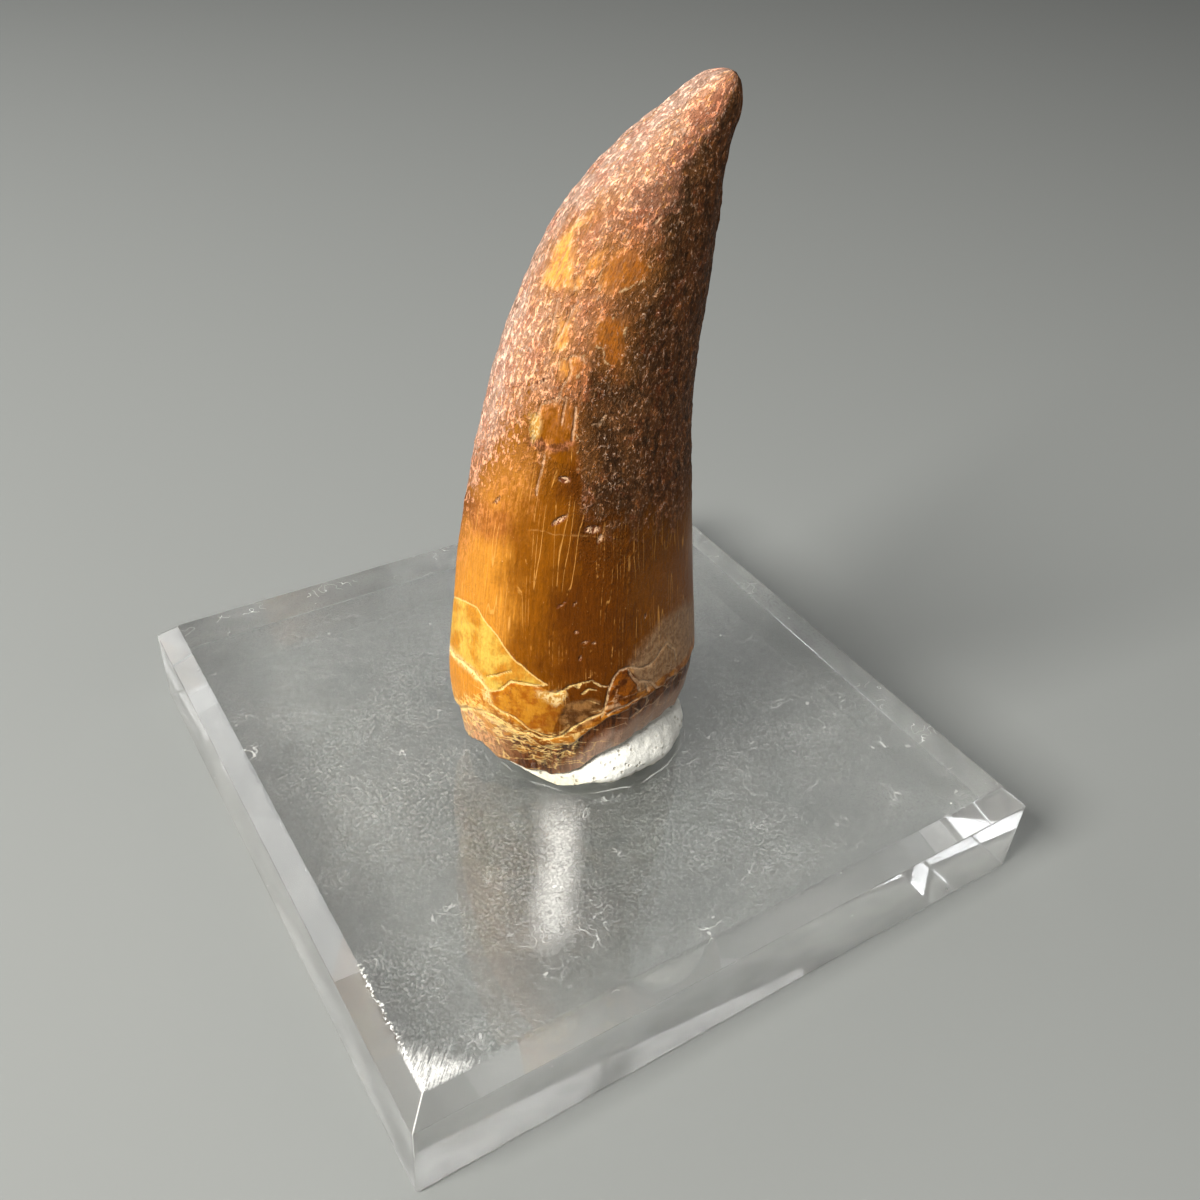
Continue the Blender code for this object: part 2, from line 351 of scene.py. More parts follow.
# Half the blade's width as (share of its height, millimetres)
HALF_WIDTHS = (
    (0.00, 13.0), (0.12, 13.8), (0.25, 13.0), (0.40, 11.8), (0.55, 10.3), (0.70, 8.9), (0.80, 7.5),
    (0.88, 5.5), (0.94, 3.4), (1.00, 1.7),
)
TIP_ROUNDING = 2.2 * MM
ROOT_THICKNESS = 0.78
TIP_THICKNESS = 0.66
EDGE_SHARPNESS = 0.25
EDGE_START = 0.40
CARINA_HEIGHT = 0.25 * MM
CARINA_WIDTH = 0.10
FACE_RIDGE = 0.05
FACE_RIDGE_PLACE = 0.15
FACE_RIDGE_WIDTH = 0.30

# The root's broken edge as (degrees round the blade, millimetres of height)
RIM_LEVELS = (
    (0, 17.0), (30, 17.9), (50, 18.5), (75, 18.0), (90, 16.1), (102, 14.3), (122, 14.1), (137, 14.8),
    (155, 15.8), (172, 14.4), (185, 13.9), (210, 14.7), (240, 15.7), (270, 15.3), (300, 16.3),
    (330, 17.0), (360, 17.0),
)
RIM_CHIPS = ((0.12 * MM, 9, 0.7), (0.10 * MM, 16, 2.1), (0.08 * MM, 23, 4.0))
RIM_INSET_FRONT = 0.15 * MM
RIM_INSET_REAR = 0.7 * MM
RIM_INSET_REACH = 2.6 * MM
ENAMEL_STEP = 0.3 * MM
ROOT_HOLLOW = 1.2 * MM
ROOT_CENTRE_LEVEL = 16.2 * MM

# The putty itself
PUTTY_X = -0.5 * MM
PUTTY_Y = -3.0 * MM
PUTTY_RADIUS = 11.5 * MM
PUTTY_SWELL = 0.7 * MM
PUTTY_SWELL_SIDE = math.radians(-35.0)
PUTTY_FOOT = 0.86
PUTTY_WAIST_SHARE = 0.3
PUTTY_CUP_GAP = 0.36 * MM
PUTTY_BULGE = 0.8
PUTTY_BULGE_RISE = (1.8 * MM, 4.0 * MM)
PUTTY_LUMPS = ((0.14 * MM, 5, 0.4), (0.10 * MM, 11, 1.9))
PUTTY_COLUMNS = 300
PUTTY_FOOT_LEVEL = BLOCK_TOP + 0.3 * MM
PUTTY_CUP_SHARES = (0.84, 0.72, 0.60, 0.45, 0.30, 0.15)
PUTTY_FOOT_STEPS = 8
PUTTY_FLANK_STEPS = 30


def smooth_curve(x, keys):
    """Cubic curve through (place, value) keys, with the keys' own slopes."""
    places, values = np.array(keys, dtype=float).T
    slopes = np.gradient(values, places)
    left = np.clip(np.searchsorted(places, x, side="right") - 1, 0, len(places) - 2)
    span = places[left + 1] - places[left]
    u = np.clip((x - places[left]) / span, 0.0, 1.0)
    start = values[left] * (1 + 2 * u) * (1 - u) ** 2 + slopes[left] * span * u * (1 - u) ** 2
    end = values[left + 1] * u**2 * (3 - 2 * u) - slopes[left + 1] * span * u**2 * (1 - u)
    return start + end


def smooth_step(x, low, high):
    """0 below low, 1 above high, and an S between them."""
    u = np.clip((x - low) / (high - low), 0.0, 1.0)
    return u * u * (3 - 2 * u)


def ripples(angle, waves):
    """Sum of sine waves round a ring, from (height, count, phase) triples."""
    return sum(height * np.sin(count * angle + phase) for height, count, phase in waves)


def rough(points, cell, seed):
    """Noise from -1 to 1: random values on a lattice of cells, blended by an S curve."""
    scaled = points / cell
    base = np.floor(scaled)
    part = scaled - base
    part = part * part * (3 - 2 * part)
    total = 0.0
    for corner in np.ndindex(2, 2, 2):
        value = np.sin((base + corner) @ (12.9898, 78.233, 37.719) + seed) * 43758.5453
        weight = np.prod(np.where(corner, part, 1 - part), axis=-1)
        total = total + weight * (2 * (value - np.floor(value)) - 1)
    return total


def outward_normals(rings):
    """Unit normals of a grid of rings that run clockwise from above."""
    wrapped = np.concatenate([rings[:, -1:], rings, rings[:, :1]], axis=1)
    along = (wrapped[:, 2:] - wrapped[:, :-2]) / 2
    across = np.gradient(rings, axis=0)
    normal = np.cross(across, along)
    return normal / np.maximum(np.linalg.norm(normal, axis=-1, keepdims=True), 1e-12)


def rim_level(angle):
    """Level of the broken root's edge at an angle round the blade."""
    return smooth_curve(np.degrees(angle), RIM_LEVELS) * MM + ripples(angle, RIM_CHIPS)


def blade_point(share, angle, inset):
    """Point of the blade's surface at a share of its height and an angle round it.

    Each section is square to the middle line, which curves to the rear edge. It is
    an oval that turns into a lens with a cutting ridge at both ends, drawn in by the
    inset. Angles run from the rear edge by the face (90 degrees) to the front edge.
    """
    height = TIP_LEVEL - ROOT_LEVEL
    climbed = np.maximum(share, 0.0)
    left = 1 - share
    lean = TIP_LEAN * climbed**LEAN_POWER + ROOT_LEAN * left**ROOT_LEAN_POWER
    tip_slope = TIP_LEAN * LEAN_POWER * climbed ** (LEAN_POWER - 1)
    lean_slope = tip_slope - ROOT_LEAN * ROOT_LEAN_POWER * left ** (ROOT_LEAN_POWER - 1)
    length = np.hypot(lean_slope, height)
    from_tip = np.clip(left * height / TIP_ROUNDING, 0.0, 1.0)
    dome = np.sqrt(1 - (1 - from_tip) ** 2)
    half_width = smooth_curve(np.clip(share, 0.0, 1.0), HALF_WIDTHS) * MM * dome
    thickness = ROOT_THICKNESS + (TIP_THICKNESS - ROOT_THICKNESS) * share
    bladed = np.clip(share / EDGE_START, 0.0, 1.0)
    across = np.cos(angle)
    outward = np.sin(angle) * np.abs(np.sin(angle)) ** (EDGE_SHARPNESS * bladed)
    ridge = np.exp(-(((across - FACE_RIDGE_PLACE) / FACE_RIDGE_WIDTH) ** 2))
    outward = outward * (1 + FACE_RIDGE * ridge)
    carina = CARINA_HEIGHT * bladed * dome * np.exp(-((np.sin(angle) / CARINA_WIDTH) ** 2))
    along_blade = across * (half_width - inset + carina)
    off_blade = outward * (half_width * thickness - inset)
    forward = lean + along_blade * height / length
    level = ROOT_LEVEL + share * height - along_blade * lean_slope / length
    x = ROOT_X + forward * math.cos(BLADE_TURN) + off_blade * math.sin(BLADE_TURN)
    y = ROOT_Y + forward * math.sin(BLADE_TURN) - off_blade * math.cos(BLADE_TURN)
    return np.stack([x, y, level], axis=-1)


def rim_inset(angle):
    """How far the wall draws in at the root's edge, more at the rear edge of the blade."""
    rear = (1 + np.cos(angle)) / 2
    return RIM_INSET_FRONT + (RIM_INSET_REAR - RIM_INSET_FRONT) * rear


def root_rim(angle):
    """The broken edge of the root, as a ring of points."""
    share = (rim_level(angle) - ROOT_LEVEL) / (TIP_LEVEL - ROOT_LEVEL)
    return blade_point(share, angle, rim_inset(angle) + ENAMEL_STEP)


def root_underside(rim, share, drop):
    """Ring of the root's hollow underside at a share of the way out to its edge."""
    centre = rim.mean(axis=0)
    centre[2] = ROOT_CENTRE_LEVEL
    ring = centre + (rim - centre) * share
    ring[..., 2] += ROOT_HOLLOW * (1 - share**2) - drop
    return ring


def putty_rings():
    """Rings from under the putty, round its waist and up its flank to the root's cup.

    The foot is a quarter circle below the waist; the flank runs from the waist to the
    cup's edge, bulging where the cup stands high; the cup follows the underside.
    """
    angle = np.linspace(0, 2 * math.pi, PUTTY_COLUMNS, endpoint=False)
    rim = root_rim(angle)
    top = root_underside(rim, PUTTY_CUP_SHARES[0], PUTTY_CUP_GAP)
    turn = np.arctan2(top[:, 1] - PUTTY_Y, top[:, 0] - PUTTY_X)
    swell = PUTTY_SWELL * np.cos(turn - PUTTY_SWELL_SIDE)
    radius = PUTTY_RADIUS + swell + ripples(turn, PUTTY_LUMPS)
    waist = PUTTY_FOOT_LEVEL + PUTTY_WAIST_SHARE * (top[:, 2] - PUTTY_FOOT_LEVEL)
    bend = np.linspace(0, math.pi / 2, PUTTY_FOOT_STEPS + 1)[:-1, None]
    foot_reach = radius * (PUTTY_FOOT + (1 - PUTTY_FOOT) * np.sin(bend))
    foot_level = waist + (PUTTY_FOOT_LEVEL - waist) * np.cos(bend)
    rise = top[:, 2] - waist
    bulge = 1 + PUTTY_BULGE * smooth_step(rise, *PUTTY_BULGE_RISE)
    climb = np.linspace(0, 1, PUTTY_FLANK_STEPS + 1)[:-1, None]
    top_reach = np.hypot(top[:, 1] - PUTTY_Y, top[:, 0] - PUTTY_X)
    flank_reach = top_reach + (radius - top_reach) * (1 - climb**bulge)
    reach = np.concatenate([foot_reach, flank_reach])
    level = np.concatenate([foot_level, waist + rise * climb])
    flank = np.stack([PUTTY_X + reach * np.cos(turn), PUTTY_Y + reach * np.sin(turn), level], axis=-1)
    cup = np.stack([root_underside(rim, share, PUTTY_CUP_GAP) for share in PUTTY_CUP_SHARES])
    return np.concatenate([flank, cup])


def putty_surface():
    """The putty's rings with finger lumps, grain and pits pressed along the normals."""
    rings = putty_rings()
    normals = outward_normals(rings)
    lump = 0.16 * rough(rings, 3.4 * MM, 1.0) + 0.09 * rough(rings, 1.5 * MM, 2.0)
    grain = 0.10 * rough(rings, 0.6 * MM, 3.0) + 0.05 * rough(rings, 0.33 * MM, 4.0)
    pit = -0.22 * smooth_step(rough(rings, 0.8 * MM, 5.0), 0.45, 0.8)
    above = smooth_step(rings[..., 2], PUTTY_FOOT_LEVEL, PUTTY_FOOT_LEVEL + 0.8 * MM)
    return rings + normals * ((lump + grain + pit) * above * MM)[..., None]


def putty_finish():
    """White putty, chalky, with pores, a yellower foot and a little dirt."""
    finish = Finish("white_putty")
    place = finish.place()
    grain = finish.noise(place, 2600, 5, 0.65)
    pores = finish.cells(place, 1500)
    patch = finish.noise(place, 260, 3)
    level = finish.part(place, "Z")
    low = (level + patch * 0.0016).step(PUTTY_FOOT_LEVEL + 2.4 * MM, PUTTY_FOOT_LEVEL + 0.9 * MM)
    base = finish.mix(grain, (224, 222, 208), (253, 252, 247))
    base = finish.mix(low * 0.75, base, (222, 212, 176))
    pore = pores.step(0.34, 0.10) * patch.step(0.38, 0.52)
    base = finish.mix(pore * 0.6, base, (170, 158, 128))
    finish.coat(
        Base_Color=base,
        Roughness=0.62 + grain * 0.3,
        Specular_IOR_Level=0.3,
        Normal=finish.bump(grain * 0.8 - pore * 0.7, 0.22 * MM),
    )
    return finish.material


putty = putty_surface()
putty_foot = (PUTTY_X, PUTTY_Y, PUTTY_FOOT_LEVEL)
putty_rim = root_rim(np.linspace(0, 2 * math.pi, PUTTY_COLUMNS, endpoint=False))
putty_middle = root_underside(putty_rim, 0.0, PUTTY_CUP_GAP)[0]
putty_mesh = closed_mesh("mounting_putty_pad", putty_foot, putty, putty_middle)
add_piece("mounting_putty_pad", putty_mesh, putty_finish(), "mounting_putty")


# ---- Fossil tooth --------------------------------------------------------------------
# The crown of a large meat-eater's tooth, turned to stone. Amber enamel shows at its foot
# and through worn windows in a matte brown crust; below the enamel's cracked edge the
# dentine of the broken root is bare.
TOOTH_COLUMNS = 300
TOOTH_ROWS = 296
FACE_CROWDING = 0.35
ROW_CROWDING = 0.05
UNDERSIDE_SHARES = (0.15, 0.30, 0.45, 0.60, 0.72, 0.82, 0.90, 0.95, 0.98)
BLADE_ROUND = 12.0
TAPER_WIDTH = 9.0

# Depths of the blade's marks, in millimetres
WINDOW_DEPTH = 0.045
CRACK_DEPTH = 0.08
CHIP_DEPTH = 0.09
OVAL_DEPTH = 0.12
RED_RISE = 0.05

# Stored where no outline or line is near, and for the underside as its height over the ledge
OUTSIDE = 5.0
BELOW_LEDGE = -9.0

# Outlines and lines below are (degrees round the blade, millimetres above the root's level)
ENAMEL_EDGE = (
    (0, 9.5), (35, 10.0), (66, 9.8), (76, 9.1), (88, 8.4), (97, 5.9), (109, 4.9), (121, 5.1), (131, 6.3),
    (145, 7.1), (155, 6.7), (174, 4.6), (190, 4.8), (215, 6.0), (245, 5.4), (275, 6.6), (310, 7.4),
    (340, 9.0), (360, 9.5),
)
UPPER_SEAM = (
    (0, 11.6), (40, 11.2), (70, 11.0), (89, 10.2), (96, 8.6), (104, 6.7), (113, 5.9), (120, 6.4),
    (130, 8.1), (140, 10.6), (154, 8.4), (172, 5.8), (190, 6.4), (215, 8.4), (245, 7.2), (275, 8.8),
    (310, 9.4), (340, 11.4), (360, 11.6),
)
CRUST_EDGE = (
    (0, 31.0), (32, 30.8), (53, 30.8), (82, 31.5), (92, 32.1), (100, 34.0), (104, 37.0), (107, 39.1),
    (123, 39.6), (131, 40.6), (138, 40.4), (146, 39.2), (158, 36.0), (174, 31.0), (195, 30.0),
    (212, 36.0), (228, 28.0), (244, 38.0), (262, 31.5), (282, 41.0), (300, 33.0), (318, 37.0),
    (338, 29.5), (360, 31.0),
)

# The dark stain's edge, the other way round: (level, degrees)
STAIN_EDGE = (
    (25, 98), (33, 102), (38, 109), (44, 115), (49, 105), (55, 94), (59, 95), (63, 98), (66, 88), (70, 76),
)

# What the outlines bound, as (how ragged they are, outlines)
OUTLINES = {
    "window": (0.5, (
        ((141, 57.1), (152, 56.0), (160, 53.7), (156, 52.4), (157, 51.0), (143, 51.1), (132, 51.8),
         (136, 52.5), (141, 54.0), (150, 55.4)),
        ((122, 55.2), (129, 54.1), (132, 52.3), (129, 51.8), (124, 53.3), (121, 54.3)),
        ((117, 55.1), (112, 55.9), (98, 55.8), (90, 55.0), (95, 53.8), (102, 53.1), (108, 52.3),
         (115, 52.4), (119, 52.9), (119, 53.8)),
        ((133, 49.2), (126, 49.2), (124, 48.1), (124, 47.0), (131, 46.8), (132, 48.0)),
        ((111, 50.6), (95, 50.6), (94, 49.3), (92, 47.1), (95, 46.7), (102, 46.9), (104, 48.1),
         (110, 48.1), (111, 49.5)),
        ((126, 45.9), (121, 46.6), (113, 47.0), (112, 46.2), (114, 45.3), (118, 44.6), (123, 44.7)),
        ((130, 41.9), (122, 42.5), (110, 42.5), (108, 39.8), (105, 36.9), (121, 37.7), (127, 38.8),
         (134, 40.3)),
        ((250, 52.0), (236, 53.0), (230, 50.5), (241, 47.0), (252, 48.5)),
        ((288, 46.0), (270, 47.0), (266, 42.5), (280, 41.0), (290, 43.0)),
    )),
    "gold": (0.3, (
        ((200, 17.0), (182, 18.6), (158, 19.8), (152, 19.8), (147, 18.9), (138, 17.8), (128, 15.5),
         (112, 13.2), (120, 12.9), (129, 12.9), (134, 11.5), (141, 10.8), (152, 12.1), (160, 12.3),
         (172, 12.0), (200, 12.5)),
    )),
    "honey": (0.4, (
        ((140, 10.6), (134, 11.6), (129, 12.9), (115, 12.9), (106, 12.2), (104, 10.4), (108, 8.4),
         (110, 6.6), (120, 7.0), (128, 7.6), (136, 8.8)),
    )),
    "cream": (1, (
        ((118, 12.6), (103, 12.6), (104, 11.4), (108, 10.4), (113, 11.2), (117, 11.6)),
        ((190, 12.8), (171, 12.7), (160, 13.0), (152, 12.9), (145, 12.1), (141, 11.2), (139, 9.4),
         (142, 9.2), (146, 10.9), (152, 11.5), (160, 11.6), (171, 11.3), (190, 11.4)),
        ((136, 41.0), (131, 41.3), (128, 40.5), (128, 39.2), (130, 38.6), (134, 39.4)),
    )),
    "oval": (0.4, (
        ((104, 11.0), (93, 11.7), (87, 10.9), (89, 9.5), (94, 8.1), (104, 7.1), (107, 9.0)),
    )),
    "red": (0.3, (
        ((87, 9.2), (86, 11.2), (85, 12.6), (81, 14.0), (76, 14.8), (72, 13.3), (70, 12.0), (72, 10.4),
         (79, 9.5)),
    )),
    "grey": (1, (
        ((76, 14.6), (70, 16.4), (60, 18.2), (42, 18.6), (22, 16.8), (4, 14.0), (4, 9.6), (40, 8.2),
         (55, 8.2), (64, 9.4), (70, 11.3)),
    )),
}

# Lines of packed stone: between the plates, by the ledge, and up in the crust
CRACKS = (
    ((200, 12.0), (171, 11.9), (160, 12.3), (152, 12.2), (146, 11.6), (142, 10.9), (140, 9.7), (138, 8.9)),
    ((142, 12.5), (135, 13.4), (129, 14.2)),
    ((135, 11.4), (132, 12.2), (129, 12.9), (123, 13.0), (115, 12.9)),
    ((111, 12.3), (108, 12.2), (104, 12.8), (102, 13.3), (98, 13.6)),
    ((99, 13.0), (97, 13.6), (93, 13.8), (89, 13.2), (86, 13.0)),
    ((97, 12.3), (94, 12.8), (91, 12.6)),
    ((88, 9.2), (86, 11.2), (85, 12.6), (83, 13.8), (80, 14.7), (76, 14.8), (74, 13.4), (71, 12.3),
     (70, 11.3)),
    ((76, 14.8), (70, 14.1), (64, 13.7), (61, 14.0), (57, 14.7), (52, 15.2), (46, 13.6), (45, 12.1)),
    ((75, 13.8), (70, 12.3), (63, 11.5), (60, 10.4), (57, 9.6), (52, 9.8)),
    ((66, 11.7), (65, 10.5)),
    ((179, 3.3), (159, 6.3), (150, 7.2), (143, 7.8), (136, 7.8), (132, 7.4), (128, 6.7), (125, 6.4),
     (120, 6.6), (116, 6.0), (112, 5.9), (106, 6.4), (101, 7.5), (96, 8.4), (91, 9.3), (88, 9.7)),
    ((138, 9.1), (133, 8.7), (128, 8.6), (124, 8.0), (120, 7.1), (115, 6.5), (110, 6.4)),
    ((126, 5.3), (122, 6.1), (119, 5.5), (115, 4.6), (111, 4.0), (106, 4.3)),
    ((106, 3.5), (103, 3.7), (100, 3.3)),
    ((73, 7.3), (69, 7.7), (66, 8.0), (63, 8.8)),
    ((86, 9.3), (82, 9.9), (76, 9.9), (71, 10.1)),
    ((127, 50.6), (129, 48.6), (132, 46.8)),
    ((139, 50.5), (137, 48.8), (135, 47.0)),
    ((121, 46.4), (119, 46.8), (114, 46.9), (112, 46.5)),
    ((120, 46.2), (118, 45.6), (118, 44.9), (120, 44.3), (121, 43.6), (122, 42.7)),
    ((131, 41.0), (130, 42.1), (125, 42.5), (121, 43.1), (116, 43.1)),
    ((111, 42.5), (110, 41.0), (110, 39.6)),
    ((117, 43.0), (117, 41.9), (117, 40.7)),
    ((123, 37.6), (123, 36.5), (124, 34.9), (124, 33.8)),
    ((148, 40.4), (143, 40.0), (139, 39.4)),
    ((101, 41.3), (98, 41.3), (96, 41.9), (95, 42.4)),
)

# Chips as (degrees, level, half length, half width in millimetres, lean in degrees)
CHIPS = (
    (111, 31.8, 0.9, 0.24, 40), (95, 31.1, 0.7, 0.40, 10), (91, 30.2, 0.5, 0.22, 70),
    (111, 35.8, 0.55, 0.32, 0), (146, 32.1, 0.6, 0.18, 50),
    (100, 19.7, 0.22, 0.16, 0), (96, 18.5, 0.30, 0.14, 30), (92, 18.4, 0.20, 0.13, 0),
    (66, 20.0, 0.34, 0.14, 80), (98, 16.6, 0.28, 0.12, 85), (107, 22.8, 0.45, 0.10, 45),
    (101, 23.0, 0.26, 0.10, 60), (82, 53.6, 0.55, 0.14, 60), (98, 58.6, 0.45, 0.16, 65),
    (132, 44.0, 0.6, 0.18, 30), (250, 30.0, 0.8, 0.40, 60), (292, 38.0, 0.6, 0.30, 20),
    (225, 22.0, 0.5, 0.25, 80),
)


def chip_distance(degrees, level):
    """Distance in millimetres from the nearest chip's edge, negative inside a chip.

    A chip is an ellipse on the unrolled blade, leaning from the level.
    """
    nearest = np.full(np.broadcast(degrees, level).shape, OUTSIDE)
    for middle, height, half_length, half_width, lean in CHIPS:
        share = height / ((TIP_LEVEL - ROOT_LEVEL) / MM)
        x = (middle - degrees) * math.radians(1) * smooth_curve(np.array(share), HALF_WIDTHS)
        y = level - height
        lean = math.radians(lean)
        along = (x * math.cos(lean) + y * math.sin(lean)) / half_length
        across = (y * math.cos(lean) - x * math.sin(lean)) / half_width
        nearest = np.minimum(nearest, (np.hypot(along, across) - 1) * half_width)
    return nearest


def unrolled(degrees, line):
    """The blade's angles and a line's corners in millimetres, unrolled at the line's level."""
    corners = np.array(line, dtype=float)
    share = corners[:, 1].mean() / ((TIP_LEVEL - ROOT_LEVEL) / MM)
    scale = math.radians(1) * smooth_curve(np.array(share), HALF_WIDTHS)
    return degrees * scale, corners * (scale, 1)


def side_distance(x, y, start, end):
    """Distance of points from one straight side."""
    dx, dy = end - start
    along = np.clip(((x - start[0]) * dx + (y - start[1]) * dy) / (dx * dx + dy * dy), 0, 1)
    return np.hypot(x - start[0] - along * dx, y - start[1] - along * dy)


def outline_distance(degrees, level, outline):
    """Distance in millimetres from an outline on the blade, negative inside it.

    It is the least of those to the outline's sides, and a point is inside where a line
    to the rear crosses an odd number of sides.
    """
    x, corners = unrolled(degrees, outline)
    y = level
    nearest = np.full(np.broadcast(x, y).shape, 1e9)
    inside = np.zeros(nearest.shape, dtype=bool)
    for start, end in zip(corners, np.roll(corners, -1, axis=0)):
        nearest = np.minimum(nearest, side_distance(x, y, start, end))
        crosses = (end[1] > y) != (start[1] > y)
        rise = end[1] - start[1]
        inside ^= crosses & (x < start[0] + (y - start[1]) / (rise if rise else 1) * (end[0] - start[0]))
    return np.where(inside, -nearest, nearest)


def crack_distance(degrees, level):
    """Distance in millimetres from the nearest crack. The back has the face's, shifted."""
    back = degrees > 180
    degrees = np.where(back, 352 - 0.94 * degrees, degrees)
    level = level + np.where(back, 0.9 * np.sin(degrees * 0.07) - 0.4, 0.0)
    nearest = np.full(level.shape, OUTSIDE)
    for line in CRACKS:
        x, corners = unrolled(degrees, line)
        for start, end in zip(corners[:-1], corners[1:]):
            nearest = np.minimum(nearest, side_distance(x, level, start, end))
    return nearest


def groove(distance, width):
    """1 on a line and less beside it, as a bell curve of that width."""
    return np.exp(-((distance / width) ** 2))


def tooth_surface():
    """The tooth's wall, ring by ring, and the values that its finish reads.

    The blade is computed on a grid that is finer on the face and near both ends, and
    is then moved along its normals: broad swellings, a grainy crust, sunken windows,
    cracks between the plates and bare, ragged dentine below the enamel's ledge. The
    patterns lie on a round of the blade's mean size that narrows to the tip with it.
    """
    turn = np.linspace(0, 2 * math.pi, TOOTH_COLUMNS, endpoint=False)[None, :]
    angle = turn + FACE_CROWDING * (np.cos(turn) - 1)
    degrees = np.degrees(angle) % 360
    row = (np.arange(TOOTH_ROWS) / TOOTH_ROWS)[:, None]
    row = row - ROW_CROWDING * np.sin(2 * math.pi * row)
    height = TIP_LEVEL - ROOT_LEVEL
    circle = np.stack([np.cos(angle), np.sin(angle), 0 * angle], axis=-1) * BLADE_ROUND
    chips = 0.16 * rough(circle[0], 1.3, 6.0) + 0.10 * rough(circle[0], 0.55, 7.0)
    rim_share = (rim_level(angle) + chips * MM - ROOT_LEVEL) / height
    share = rim_share + (1 - rim_share) * row
    above_rim = (share - rim_share) * height
    level = share * height / MM
    taper = np.minimum(smooth_curve(np.clip(share, 0.0, 1.0), HALF_WIDTHS) / TAPER_WIDTH, 1.0)
    blade = np.stack([circle[..., 0] * taper, circle[..., 1] * taper, level], axis=-1)

    jag = 0.25 * rough(blade, 1.1, 8.0) + 0.15 * rough(blade, 0.5, 9.0)
    ledge = level - smooth_curve(degrees, ENAMEL_EDGE) + 1.6 * jag
    inset = rim_inset(angle) * np.exp(-above_rim / RIM_INSET_REACH)
    inset = inset + ENAMEL_STEP * (1 - smooth_step(ledge, -0.1, 0.35))
    smooth = blade_point(share, angle, inset)

    values = {
        "side": 180 - np.abs(180 - degrees) + 0 * level,
        "crust": level - smooth_curve(degrees, CRUST_EDGE),
        "ledge": ledge,
        "seam": level - smooth_curve(degrees, UPPER_SEAM) + jag,
        "crack": crack_distance(degrees, level + 0.5 * jag),
        "chip": chip_distance(degrees, level),
    }
    # A degree of the stain's edge counts as 0.2 mm
    values["stain"] = (smooth_curve(level, STAIN_EDGE) - values["side"]) * 0.2
    for name, (ragged, outlines) in OUTLINES.items():
        nearest = [outline_distance(degrees, level, outline) for outline in outlines]
        values[name] = np.minimum.reduce(nearest) + ragged * jag

    in_crust = smooth_step(values["crust"], -8.0, 2.0)
    bare = 1 - smooth_step(ledge, -0.1, 0.3)
    in_window = 1 - smooth_step(values["window"], -0.12, 0.12)
    relief = 0.10 * rough(blade, 9.0, 10.0) + 0.06 * rough(blade, 4.0, 11.0)
    grain = 0.08 * rough(blade, 0.9, 12.0) + 0.05 * rough(blade, 0.45, 13.0) + 0.06 * rough(blade, 1.9, 18.0)
    relief = relief + in_crust * (grain * (1 - 0.6 * in_window) - WINDOW_DEPTH * in_window)
    relief = relief - CRACK_DEPTH * (groove(values["crack"], 0.17) + groove(values["gold"], 0.16))
    relief = relief - CHIP_DEPTH * (1 - smooth_step(values["chip"], -0.15, 0.1))
    relief = relief - OVAL_DEPTH * (1 - smooth_step(values["oval"], -0.4, 0.1))
    relief = relief + RED_RISE * (1 - smooth_step(values["red"], -0.4, 0.0))
    streaky = blade * (1, 1, 0.25)
    relief = relief + bare * (0.12 * rough(streaky, 0.9, 14.0) + 0.07 * rough(streaky, 0.4, 15.0))
    near_tip = smooth_step((1 - share) * height / MM, 0.2, 2.0)
    rings = smooth + outward_normals(smooth) * (relief * near_tip * MM)[..., None]
    return rings, blade, values


def tooth_mesh():
    """The wall with its underside and tip, and its values stored on the points."""
    wall, blade, values = tooth_surface()
    shares = np.array(UNDERSIDE_SHARES)
    underside = np.stack([root_underside(wall[0], share, 0.0) for share in shares])
    coarse = 0.16 * rough(underside, 2.2 * MM, 16.0) + 0.08 * rough(underside, 0.9 * MM, 17.0)
    underside[..., 2] += coarse * MM * (1 - shares**6)[:, None]
    bottom = root_underside(wall[0], 0.0, 0.0)[0]
    tip = blade_point(np.array(1.0), np.array(0.0), 0.0)
    mesh = closed_mesh("tooth_crown", bottom, np.concatenate([underside, wall]), tip)
    under = len(shares)

    def spread(grid, first):
        """One value for each point: the underside takes the first given."""
        lower = np.full((1 + under * TOOTH_COLUMNS, *grid.shape[2:]), first)
        return np.concatenate([lower, grid.reshape(-1, *grid.shape[2:]), grid[-1:, 0]])

    for name, grid in values.items():
        layer = mesh.attributes.new(name, "FLOAT", "POINT")
        layer.data.foreach_set("value", spread(grid, BELOW_LEDGE if name == "ledge" else OUTSIDE))
    lower = np.concatenate([[bottom], underside.reshape(-1, 3)]) / MM
    layer = mesh.attributes.new("blade", "FLOAT_VECTOR", "POINT")
    layer.data.foreach_set("vector", np.concatenate([lower, blade.reshape(-1, 3), blade[-1:, 0]]).ravel())
    return mesh


